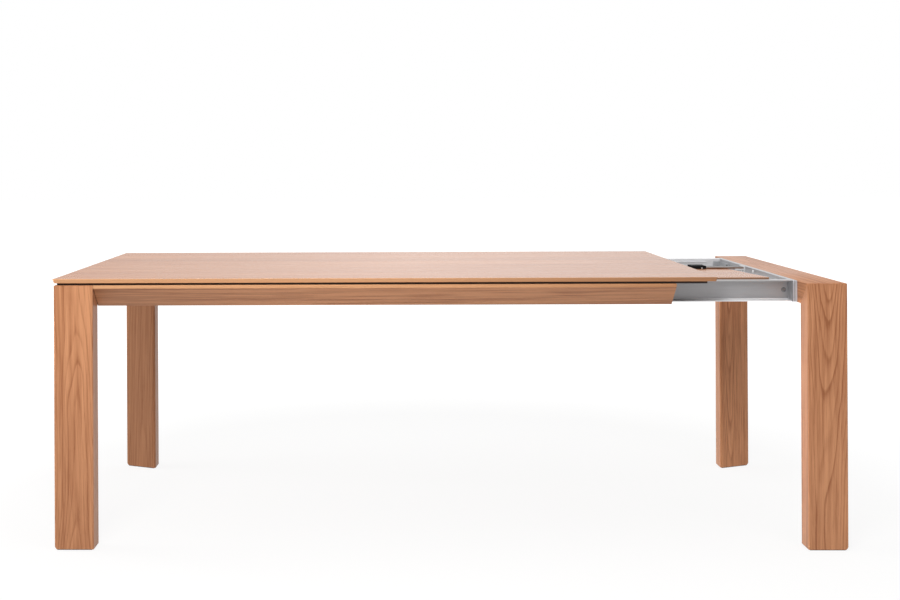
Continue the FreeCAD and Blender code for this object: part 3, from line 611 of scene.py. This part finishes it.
# %% Finishes of the metal and plastic nodes
FLANGE_THICK = 0.0033  # with a little more, to take in its upper face
BAR_EDGE_DEEP = 0.0002
EDGE_GROOVE_SHADE = 0.0022  # half widths
MIDDLE_GROOVE_SHADE = 0.0011
TURNED_LINES = 1500.0
running_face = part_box("channel_front")[0][2] + FLANGE_THICK
bar_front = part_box("keeper_bar")[0][1] + BAR_EDGE_DEEP
cap_low, cap_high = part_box("profile_caps")
cap_middle = (cap_low[0] + cap_high[0]) / 2
cap_shaded_grooves = ((cap_low[0], EDGE_GROOVE_SHADE), (cap_middle, MIDDLE_GROOVE_SHADE))
silver_across = metal("Anodised aluminium across", (0.57, 0.57, 0.59), "y")
bright = metal("Bright plated steel", (0.58, 0.58, 0.58), "z", TURNED_LINES, 1.0, rough_shift=-0.12)
pale_zinc = metal("Pale zinc screws", (0.92, 0.92, 0.92), "z", TURNED_LINES, 0.25)
nylon = plastic("Off-white nylon", (0.62, 0.60, 0.54))
finish["channel_front"] = metal(
    "Anodised aluminium along", (0.56, 0.55, 0.56), highlight_below=running_face,
)
# painted light: the same aluminium as the front channel, made paler for the light that falls on the rear one
finish["channel_rear"] = metal(
    "Aluminium rear painted lighter", (0.83, 0.83, 0.85), metallic=0.5, highlight_below=running_face,
)
finish["keeper_bar"] = metal(
    "Mill aluminium bar", (0.30, 0.29, 0.28), rough_shift=0.2, edge_shade_before=bar_front,
)
finish["bar_angle"] = metal("Pale zinc angle", (0.85, 0.85, 0.86), metallic=0.3)
finish["block_screw"] = finish["profile_bolts"] = pale_zinc
finish["angle_screws"] = metal(
    "Dark steel screws", (0.39, 0.39, 0.395), "z", TURNED_LINES, 1.0, rough_shift=-0.1,
)
finish_of_slot = {
    "aluminium": silver_across,
    "zinc_steel": metal("Zinc plate", (0.58, 0.59, 0.61)),
    "screw_steel": bright,
    "black_plastic": plastic("Black plastic", (0.010, 0.010, 0.012), 0.12, 0.25),
    "grey_plastic": plastic("Grey end cap", (0.58, 0.61, 0.66), shaded_grooves=cap_shaded_grooves),
    "nylon": nylon,
}
for node, slot in slot_of_node.items():
    finish.setdefault(node, finish_of_slot.get(slot))
print("finishes:", len(bpy.data.materials), "pieces without one:", [n for n in finish if finish[n] is None])

# %% [markdown]
# ## Softened pieces
# No real edge is knife sharp: a planed board has its edges eased, and a
# metal section has small radii that catch the light. Each CAD node's mesh is
# loose triangles, so a copy is merged, its flat triangles are joined into
# whole faces, and its sharp outer edges are bevelled. The copy then stands in
# for the node. This keeps every hole and cut of the CAD piece in its place.

# %% Piece helpers
WELD = 1e-6


def welded(node):
    mesh = bmesh.new()
    mesh.from_mesh(frame["nodes"][node].data)
    bmesh.ops.remove_doubles(mesh, verts=mesh.verts, dist=WELD)
    return mesh


def settle(mesh, name, material, smooth=False):
    data = bpy.data.meshes.new(name)
    mesh.to_mesh(data)
    mesh.free()
    data.materials.append(material)
    for polygon in data.polygons:
        polygon.use_smooth = smooth
    piece = bpy.data.objects.new(name, data)
    bpy.context.scene.collection.objects.link(piece)
    return piece


def stand_in(piece, node):
    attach(piece, body_of_node[node])
    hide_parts(node)


# %% Soften a CAD node
FLAT_ANGLE = math.radians(0.3)
SHARP_ANGLE = 0.5  # radians, counted on outer edges only


def is_sharp(edge, shortest):
    if not edge.is_manifold or edge.calc_length() <= shortest:
        return False
    return edge.calc_face_angle_signed() > SHARP_ANGLE


def soften(node, radius, shortest, steps):
    mesh = welded(node)
    bmesh.ops.dissolve_limit(mesh, angle_limit=FLAT_ANGLE, verts=mesh.verts, edges=mesh.edges)
    bmesh.ops.bevel(
        mesh,
        geom=[edge for edge in mesh.edges if is_sharp(edge, shortest)],
        offset=radius,
        segments=steps,
        profile=0.5,
        affect="EDGES",
        clamp_overlap=True,
    )
    piece = settle(mesh, "soft_" + node, finish[node])
    stand_in(piece, node)
    print("softened", node, len(piece.data.polygons), "faces")


# %% Wooden, metal and plastic pieces
# Each row gives a radius, the length above which an edge is rounded, the
# number of steps in the round, and the nodes.
SOFTENED = (
    (0.0004, 0.050, 2, ("tabletop", "leaf")),
    (0.0007, 0.010, 2, ("fixed_leg_front", "fixed_leg_rear", "drawn_leg_front", "drawn_leg_rear")),
    (0.0007, 0.010, 2, ("fixed_rail", "drawn_rail")),
    (0.0008, 0.012, 2, ("apron_front", "apron_rear", "strip_front", "strip_rear")),
    (0.0008, 0.012, 2, ("bearer", "corner_blocks", "leaf_rests")),
    (0.0006, 0.0025, 3, ("channel_front", "channel_rear")),
    (0.0004, 0.0025, 2, ("cross_profile", "strap_outer", "strap_inner", "keeper_bar")),
    (0.0005, 0.0025, 2, ("corner_angle_front", "corner_angle_rear", "bar_angle")),
    (0.0006, 0.002, 2, ("profile_caps", "bar_block", "bar_guide")),
    (0.0006, 0.002, 2, ("channel_plugs", "fixed_glides", "drawn_glides")),
)
for radius, shortest, steps, nodes in SOFTENED:
    for node in nodes:
        soften(node, radius, shortest, steps)

# %% [markdown]
# ## Turned screws
# Every screw on the table is a turned head with a six-sided socket and a
# threaded shank. A profile is drawn from the tip up and turned round its
# axis. On the rings of the socket, the radius follows a hexagon. A bored
# shape, such as a roller, is closed on its inner side instead of at its ends.

# %% Turned shapes
def turned(profile, sides, six_sided=(), bored=False):
    """A closed shape turned round Z from (radius, height) pairs, with some rings six-sided."""
    mesh = bmesh.new()
    rings = []
    for index, (radius, height) in enumerate(profile):
        ring = []
        for side in range(sides):
            angle = 2 * math.pi * side / sides
            reach = radius
            if index in six_sided:
                reach = radius / math.cos((angle % (math.pi / 3)) - math.pi / 6)
            ring.append(mesh.verts.new((reach * math.cos(angle), reach * math.sin(angle), height)))
        rings.append(ring)
    pairs = list(zip(rings, rings[1:]))
    if bored:
        pairs.append((rings[-1], rings[0]))
    for low, high in pairs:
        for side in range(sides):
            after = (side + 1) % sides
            mesh.faces.new((low[side], low[after], high[after], high[side]))
    if not bored:
        mesh.faces.new(list(reversed(rings[0])))
        mesh.faces.new(rings[-1])
    bmesh.ops.recalc_face_normals(mesh, faces=mesh.faces)
    return mesh


# %% Screw profile
FINEST_PITCH = 0.0012
MOST_THREADS = 30
TIP = 0.5  # these three are shares of the shank's radius
ROOT = 0.8
CREST = 1.0
ROOT_AT = 0.15  # of a pitch
CREST_AT = 0.6
SEAT = 0.0001  # a short plain neck under the head
# The head's outline, in shares of its radius and height.
DOME = (
    (0.97, 0.0), (1.0, 0.08), (1.0, 0.30), (0.96, 0.52),
    (0.86, 0.75), (0.70, 0.92), (0.56, 1.0), (0.50, 1.0),
)
SOCKET = ((0.42, 0.98), (0.42, 0.30))


def screw_profile(head_r, head_high, shank_r, long):
    """From the tip up: a threaded shank below the seat at height 0, then a domed head with a socket."""
    pitch = max(FINEST_PITCH, long / MOST_THREADS)
    profile = [(shank_r * TIP, -long)]
    for step in range(int(long / pitch)):
        profile.append((shank_r * ROOT, -long + (step + ROOT_AT) * pitch))
        profile.append((shank_r * CREST, -long + (step + CREST_AT) * pitch))
    profile += [(shank_r, -SEAT), (shank_r, 0.0)]
    profile += [(head_r * r, head_high * z) for r, z in DOME + SOCKET]
    return profile, (len(profile) - 2, len(profile) - 1)


# %% [markdown]
# ## A tree that sets screws
# One pattern of each size is enough. A Geometry Nodes tree sets a copy on
# each point of a small mesh, and turns it by an attribute that says which
# way the screw aims. Instancing suits this well: the pattern is made once,
# and the places come from the CAD model. The tree ends in real geometry.

# %% Screw tree
screw_tree, start, end = new_group(
    "Set screws",
    "GeometryNodeTree",
    [
        ("Places", "Geometry", None),
        ("Pattern", "Object", None),
        ("Finish", "Material", None),
        ("Size", "Float", 1.0),
    ],
    [("Screws", "Geometry")],
)
screw_tree.is_modifier = True
pattern = add(screw_tree, "GeometryNodeObjectInfo", {"Object": start.outputs["Pattern"]})
aim = add(screw_tree, "GeometryNodeInputNamedAttribute", {"Name": "aim"}, data_type="FLOAT_VECTOR")
facing = add(screw_tree, "FunctionNodeAlignRotationToVector", {"Vector": aim.outputs[0]}, axis="Z")
copies = add(screw_tree, "GeometryNodeInstanceOnPoints", {
    "Points": start.outputs["Places"],
    "Instance": pattern.outputs["Geometry"],
    "Rotation": facing.outputs[0],
    "Scale": start.outputs["Size"],
})


def made_real(tree, geometry, material):
    real = add(tree, "GeometryNodeRealizeInstances", {"Geometry": geometry})
    coated = {"Geometry": real.outputs[0], "Material": material}
    return add(tree, "GeometryNodeSetMaterial", coated).outputs[0]


screws = made_real(screw_tree, copies.outputs[0], start.outputs["Finish"])
screw_tree.links.new(screws, end.inputs["Screws"])
print("tree:", screw_tree.name, len(screw_tree.nodes), "nodes")

# %% [markdown]
# ## From a tree to a plain mesh
# A modifier's inputs are set by the sockets' identifiers. The evaluated
# object then gives a plain mesh, and the base object is removed together
# with its modifier, so that nothing live is left.

# %% Grow a tree
def set_input(modifier, label, value):
    for item in modifier.node_group.interface.items_tree:
        if item.item_type == "SOCKET" and item.in_out == "INPUT" and item.name == label:
            modifier[item.identifier] = value


def grown(base, tree, inputs):
    """The finished mesh that a tree makes from a base object, which is then removed."""
    modifier = base.modifiers.new("grow", "NODES")
    modifier.node_group = tree
    for label, value in inputs.items():
        set_input(modifier, label, value)
    bpy.context.view_layer.update()
    depsgraph = bpy.context.evaluated_depsgraph_get()
    data = bpy.data.meshes.new_from_object(base.evaluated_get(depsgraph))
    bpy.data.objects.remove(base)
    return data


# %% [markdown]
# ## Measuring the CAD screws
# Most screw nodes hold several solids. Each is found by walking from point to
# point along its edges. The points still to be reached are kept in a dict,
# which keeps their order, so that each run gives the same mesh. A screw's
# axis is the one along which its two ends differ most in width, and the wider
# end is the head. So the place, the direction and the sizes of every screw
# follow the CAD model.

# %% Find the solids of a node
def islands(node):
    """The separate solids of a CAD node, each as a list of points."""
    mesh = welded(node)
    left = dict.fromkeys(mesh.verts)
    found = []
    while left:
        todo = [left.popitem()[0]]
        group = []
        while todo:
            vert = todo.pop()
            group.append(vert.co.copy())
            for edge in vert.link_edges:
                other = edge.other_vert(vert)
                if other in left:
                    del left[other]
                    todo.append(other)
        found.append(group)
    mesh.free()
    return found


# %% Measure a screw
SAME_PLACE = 1e-5
RIM = 0.98  # of the head's radius


def reach_of(point, middle, axis):
    return max(abs(point[i] - middle[i]) for i in range(3) if i != axis)


def measure_screw(points):
    """Seat, aim and sizes of a CAD screw."""
    low = Vector([min(p[i] for p in points) for i in range(3)])
    high = Vector([max(p[i] for p in points) for i in range(3)])
    middle = (low + high) / 2
    widest_gap = -1.0
    for trial in range(3):
        reaches = []
        for side in (low, high):
            at_end = [p for p in points if abs(p[trial] - side[trial]) < SAME_PLACE]
            reaches.append(max(reach_of(p, middle, trial) for p in at_end))
        gap = abs(reaches[0] - reaches[1])
        if gap > widest_gap + SAME_PLACE:
            widest_gap, axis, ends = gap, trial, reaches
    head_at_high = ends[1] > ends[0]
    head_r, shank_r = max(ends), min(ends)
    wide = [p[axis] for p in points if reach_of(p, middle, axis) > head_r * RIM]
    aim = Vector((0, 0, 0))
    aim[axis] = 1 if head_at_high else -1
    seat = middle.copy()
    seat[axis] = min(wide) if head_at_high else max(wide)
    head_high = max(wide) - min(wide)
    return seat, aim, (head_r, head_high, shank_r, high[axis] - low[axis] - head_high)


# %% Set every screw
SCREW_SIDES = 24
SCREW_CREASE = math.radians(35)


def screw_places(places):
    data = bpy.data.meshes.new("screw_places")
    data.from_pydata([seat for seat, aim in places], [], [])
    attribute = data.attributes.new("aim", "FLOAT_VECTOR", "POINT")
    for item, (seat, aim) in zip(attribute.data, places):
        item.vector = aim
    base = bpy.data.objects.new("screw_places", data)
    bpy.context.scene.collection.objects.link(base)
    return base


def set_screws(node):
    kinds = {}
    for points in islands(node):
        seat, aim, sizes = measure_screw(points)
        kinds.setdefault(tuple(round(s, 5) for s in sizes), []).append((seat, aim))
    joined = bmesh.new()
    for sizes, places in kinds.items():
        profile, six_sided = screw_profile(*sizes)
        pattern = settle(turned(profile, SCREW_SIDES, six_sided), "screw_pattern", bright)
        inputs = {"Pattern": pattern, "Finish": finish[node], "Size": 1.0}
        joined.from_mesh(grown(screw_places(places), screw_tree, inputs))
        bpy.data.objects.remove(pattern)
    piece = settle(joined, "turned_" + node, finish[node], smooth=True)
    piece.data.set_sharp_from_angle(angle=SCREW_CREASE)
    stand_in(piece, node)
    count = sum(len(places) for places in kinds.values())
    print("screws", node, count, "sizes in mm:", [tuple(round(s * 1000, 2) for s in k) for k in kinds])


SCREW_NODES = (
    "top_screws", "guide_screws", "profile_bolts", "angle_screws",
    "strap_screws", "rest_screws", "bar_screws", "block_screw",
)
for node in SCREW_NODES:
    set_screws(node)

# %% [markdown]
# ## Rollers
# Each channel runs on nylon rollers. A moulded roller is not a plain disc: a
# rim and a hub stand proud of a thin web, with ribs between them to stiffen
# it. The rim, web and hub are turned from one profile, and a second tree sets
# the ribs evenly round the axis, so their number is an input and not a list.

# %% Roller tree
roller_tree, start, end = new_group(
    "Ribbed roller",
    "GeometryNodeTree",
    [
        ("Wheel", "Geometry", None),
        ("Ribs", "Int", 8),
        ("Rib middle", "Float", 0.015),
        ("Rib length", "Float", 0.01),
        ("Rib thickness", "Float", 0.0015),
        ("Rib width", "Float", 0.012),
        ("Finish", "Material", None),
    ],
    [("Roller", "Geometry")],
)
roller_tree.is_modifier = True
given = start.outputs
ring = add(roller_tree, "GeometryNodeMeshCircle", {"Vertices": given["Ribs"], "Radius": given["Rib middle"]})
rib_size = {0: given["Rib length"], 1: given["Rib thickness"], 2: given["Rib width"]}
size = add(roller_tree, "ShaderNodeCombineXYZ", rib_size)
rib = add(roller_tree, "GeometryNodeMeshCube", {"Size": size.outputs[0]})
spot = add(roller_tree, "GeometryNodeInputPosition")
facing = add(roller_tree, "FunctionNodeAlignRotationToVector", {"Vector": spot.outputs[0]}, axis="X")
ribs = add(roller_tree, "GeometryNodeInstanceOnPoints", {
    "Points": ring.outputs[0],
    "Instance": rib.outputs["Mesh"],
    "Rotation": facing.outputs[0],
})
both = add(roller_tree, "GeometryNodeJoinGeometry")
roller_tree.links.new(given["Wheel"], both.inputs[0])
roller_tree.links.new(ribs.outputs[0], both.inputs[0])
roller_tree.links.new(made_real(roller_tree, both.outputs[0], given["Finish"]), end.inputs["Roller"])
print("tree:", roller_tree.name, len(roller_tree.nodes), "nodes")

# %% [markdown]
# ## Making the rollers
# The outer radius, the width and the place of a roller come from its CAD
# node. The profile is drawn for one half and mirrored for the other, with the
# rim's edges eased and the corners of the tread rounded.

# %% Roller profile
BORE_RADIUS = 0.00505
HUB_RADIUS = 0.0095
RIM_THICK = 0.005
WEB_THICK = 0.004
RIM_EASE = (0.0008, 0.0006)  # outwards and inwards
TREAD_ROUND = 0.0015
TREAD_MID = (0.0004, 0.0006)  # the middle of that round


def roller_profile(outer, rim, half):
    lower = [
        (BORE_RADIUS, -half),
        (HUB_RADIUS, -half),
        (HUB_RADIUS, -WEB_THICK / 2),
        (rim, -WEB_THICK / 2),
        (rim, -half + RIM_EASE[1]),
        (rim + RIM_EASE[0], -half),
        (outer - TREAD_ROUND, -half),
        (outer - TREAD_MID[0], -half + TREAD_MID[1]),
        (outer, -half + TREAD_ROUND),
    ]
    return lower + [(r, -z) for r, z in reversed(lower)]


# %% Make the rollers
RIB_COUNT = 8
RIB_THICK = 0.0016
RIB_OVERLAP = 0.0006
RIB_SHY = 0.004  # how much narrower than the roller
ROLLER_SIDES = 64
ROLLER_CREASE = math.radians(30)


def make_roller(node):
    low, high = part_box(node)
    centre = (Vector(low) + Vector(high)) / 2
    outer, wide = (high[0] - low[0]) / 2, high[1] - low[1]
    rim = outer - RIM_THICK
    wheel = turned(roller_profile(outer, rim, wide / 2), ROLLER_SIDES, bored=True)
    data = grown(settle(wheel, "roller_wheel", nylon), roller_tree, {
        "Ribs": RIB_COUNT,
        "Rib middle": (HUB_RADIUS + rim) / 2,
        "Rib length": rim - HUB_RADIUS + RIB_OVERLAP,
        "Rib thickness": RIB_THICK,
        "Rib width": wide - RIB_SHY,
        "Finish": nylon,
    })
    data.transform(Matrix.Translation(centre) @ Matrix.Rotation(math.pi / 2, 4, "X"))
    for polygon in data.polygons:
        polygon.use_smooth = True
    data.set_sharp_from_angle(angle=ROLLER_CREASE)
    piece = bpy.data.objects.new("ribbed_" + node, data)
    bpy.context.scene.collection.objects.link(piece)
    stand_in(piece, node)
    print("roller", node, [round(v, 4) for v in centre], "radius", round(outer, 4))


for node in ("roller_outer_front", "roller_outer_rear", "roller_inner_front", "roller_inner_rear"):
    make_roller(node)

# %% [markdown]
# ## What stays plain
# Dowels, tongues and axles lie inside the joints. Their CAD shapes are right
# as they are, so they only take a finish.

# %% Finish the inner nodes
for node in ("bearer_dowels", "fixed_tongues", "drawn_tongues", "axles"):
    shape = frame["nodes"][node]
    shape.data.materials.clear()
    shape.data.materials.append(finish[node])
    print("finish on", node, "is", finish[node].name)

# %% [markdown]
# ## Floor
# The table stands in a white studio without a visible horizon. A plain white
# floor would need so much light that the wood is washed out. So the floor
# glows for the camera and for mirrored rays, and is a matt grey for all other
# light. Near the table the camera sees a share of that matt grey, which is
# where the shadow shows. From below the floor is clear, so that the underside
# of the table can be looked at.

# %% Floor
FLOOR_COLOUR = (0.45, 0.445, 0.44, 1)
FLOOR_GLOW = 1.22  # makes up for the matt share
SHADOW_DEPTH = 0.28
SHADOW_REACH = (1.4, 3.6)  # distances between which the shading ends
MIRRORED_FLOOR = (-3.0, -0.6, 0.34, 0.95)  # places along Y, and how bright they look in metal
FLOOR_HALF = 30
FLOOR_DROP = 0.0003
floor_material, tree, surface = shaded("White studio floor")
tree.nodes.remove(surface)
out = tree.nodes["Material Output"]
coords = object_place(tree)
away = add(tree, "ShaderNodeVectorMath", {0: coords}, operation="LENGTH").outputs["Value"]
shading = remap(tree, away, *SHADOW_REACH, SHADOW_DEPTH, 0.0)
path = add(tree, "ShaderNodeLightPath").outputs
for_camera = sums(tree, "MULTIPLY", path["Is Camera Ray"], sums(tree, "SUBTRACT", 1.0, shading))
mirrored = sums(tree, "MAXIMUM", path["Is Glossy Ray"], path["Is Transmission Ray"])
mirrored = sums(tree, "MULTIPLY", mirrored, remap(tree, split(tree, coords)["Y"], *MIRRORED_FLOOR))
glowing = sums(tree, "MAXIMUM", for_camera, mirrored)
matt = add(tree, "ShaderNodeBsdfDiffuse", {"Color": FLOOR_COLOUR}).outputs[0]
strength = remap(tree, path["Is Camera Ray"], 0.0, 1.0, 1.0, FLOOR_GLOW)
glow = add(tree, "ShaderNodeEmission", {"Color": (1, 1, 1, 1), "Strength": strength}).outputs[0]
from_above = add(tree, "ShaderNodeMixShader", {0: glowing, 1: matt, 2: glow}).outputs[0]
backfacing = add(tree, "ShaderNodeNewGeometry").outputs["Backfacing"]
clear = add(tree, "ShaderNodeBsdfTransparent").outputs[0]
one_sided = add(tree, "ShaderNodeMixShader", {0: backfacing, 1: from_above, 2: clear}).outputs[0]
tree.links.new(one_sided, out.inputs["Surface"])
floor = bmesh.new()
lowered = Matrix.Translation((0, 0, -FLOOR_DROP))
bmesh.ops.create_grid(floor, x_segments=1, y_segments=1, size=FLOOR_HALF, matrix=lowered)
floor = settle(floor, "studio_floor", floor_material)
print("floor:", floor.name)

# %% [markdown]
# ## World
# The camera sees a white world. Mirrored rays see it white behind the table,
# a little less so above it, and greyer in front and on the left, as metal in
# a studio mirrors both bright walls and dark corners. All other light from
# the world is dim and even, and fills the shadows.

# %% World
SOFT_LIGHT = 0.24
# Each row gives two directions, and the brightness at each of them.
FRONT_TO_BACK = (-0.5, 0.2, 0.32, 1.0)
LEVEL_TO_ABOVE = (0.1, 0.5, 0.0, 0.75)
LEFT_TO_MIDDLE = (-0.35, 0.05, 0.5, 1.2)
MIDDLE_TO_RIGHT = (0.0, 0.3, 1.16, 1.0)
world = bpy.data.worlds.new("White studio")
bpy.context.scene.world = world
world.use_nodes = True
tree = world.node_tree
tree.nodes.clear()
path = add(tree, "ShaderNodeLightPath").outputs
direction = split(tree, add(tree, "ShaderNodeTexCoord").outputs["Generated"])
around = remap(tree, direction["Y"], *FRONT_TO_BACK)
above = remap(tree, direction["Z"], *LEVEL_TO_ABOVE)
rising = remap(tree, direction["X"], *LEFT_TO_MIDDLE)
falling = remap(tree, direction["X"], *MIDDLE_TO_RIGHT)
mirrored = sums(tree, "MAXIMUM", path["Is Glossy Ray"], path["Is Transmission Ray"])
in_mirror = sums(tree, "MULTIPLY", mirrored, sums(tree, "MAXIMUM", around, above))
in_mirror = sums(tree, "MULTIPLY", in_mirror, sums(tree, "MINIMUM", rising, falling))
seen = sums(tree, "MAXIMUM", path["Is Camera Ray"], in_mirror)
strength = sums(tree, "MAXIMUM", seen, SOFT_LIGHT)
sky = add(tree, "ShaderNodeBackground", {"Color": (1, 1, 1, 1), "Strength": strength})
add(tree, "ShaderNodeOutputWorld", {"Surface": sky.outputs[0]})
print("world:", world.name)

# %% [markdown]
# ## Lamps
# Soft studio light comes from large area lamps: one overhead, two on the left
# and a weak one on the right. A small one on the left has a grid in front of
# it, which keeps its light narrow: it only brightens the inner side of the
# right front leg. The lamps don't show in metal, because the world and the
# floor already do.

# %% Lamps
WIDE_OPEN = 180
GRIDDED = 24


def softbox(name, place, aim, size, power, spread=WIDE_OPEN):
    data = bpy.data.lights.new(name, "AREA")
    data.shape = "RECTANGLE"
    data.size, data.size_y = size
    data.energy = power
    data.spread = math.radians(spread)
    lamp = bpy.data.objects.new(name, data)
    lamp.location = place
    lamp.visible_glossy = False
    lamp.rotation_euler = (Vector(aim) - Vector(place)).to_track_quat("-Z", "Y").to_euler()
    bpy.context.scene.collection.objects.link(lamp)
    print("lamp:", name, power, "W")


softbox("Overhead softbox", (0.2, 0.2, 3.4), (0, 0, 0.7), (4.0, 3.0), 60)
softbox("Left front softbox", (-0.9, -3.2, 2.5), (-0.6, 0, 0.5), (1.6, 1.6), 81)
softbox("Left side softbox", (-4.5, 0.3, 0.7), (0.6, -0.2, 0.5), (2.0, 1.2), 130)
softbox("Right front softbox", (2.2, -3.3, 1.5), (1.0, 0, 0.4), (1.6, 1.6), 20)
softbox("Gridded softbox", (-2.6, -1.0, 0.75), (1.02, -0.47, 0.5), (0.5, 0.5), 0.85, GRIDDED)

# %% [markdown]
# ## Camera
# The picture was taken from in front with a lens of ordinary length, held
# level, and shifted so that the uprights stay upright. The view was worked
# out from the table's own corners. The camera's matrix is written from its
# right, up and forward directions.

# %% Camera
LENS = 50.62
SENSOR = 36.0
SHIFT = (0.0924, -0.1560)
EYE = (-0.1614, -4.0289, 1.0909)
YAW = -0.018
ROLL = -0.0049
lens_data = bpy.data.cameras.new("View")
lens_data.lens = LENS
lens_data.sensor_width = SENSOR
lens_data.shift_x, lens_data.shift_y = SHIFT
camera = bpy.data.objects.new("View", lens_data)
forward = Vector((math.sin(YAW), math.cos(YAW), 0))
level = Vector((math.cos(YAW), -math.sin(YAW), 0))
upright = Vector((0, 0, 1))
right = level * math.cos(ROLL) + upright * math.sin(ROLL)
up = upright * math.cos(ROLL) - level * math.sin(ROLL)
aimed = Matrix((right, up, -forward)).transposed().to_4x4()
camera.matrix_world = Matrix.Translation(EYE) @ aimed
bpy.context.scene.collection.objects.link(camera)
bpy.context.scene.camera = camera
bpy.context.scene.view_settings.view_transform = "Standard"
print("camera at", tuple(round(v, 3) for v in camera.matrix_world.translation))
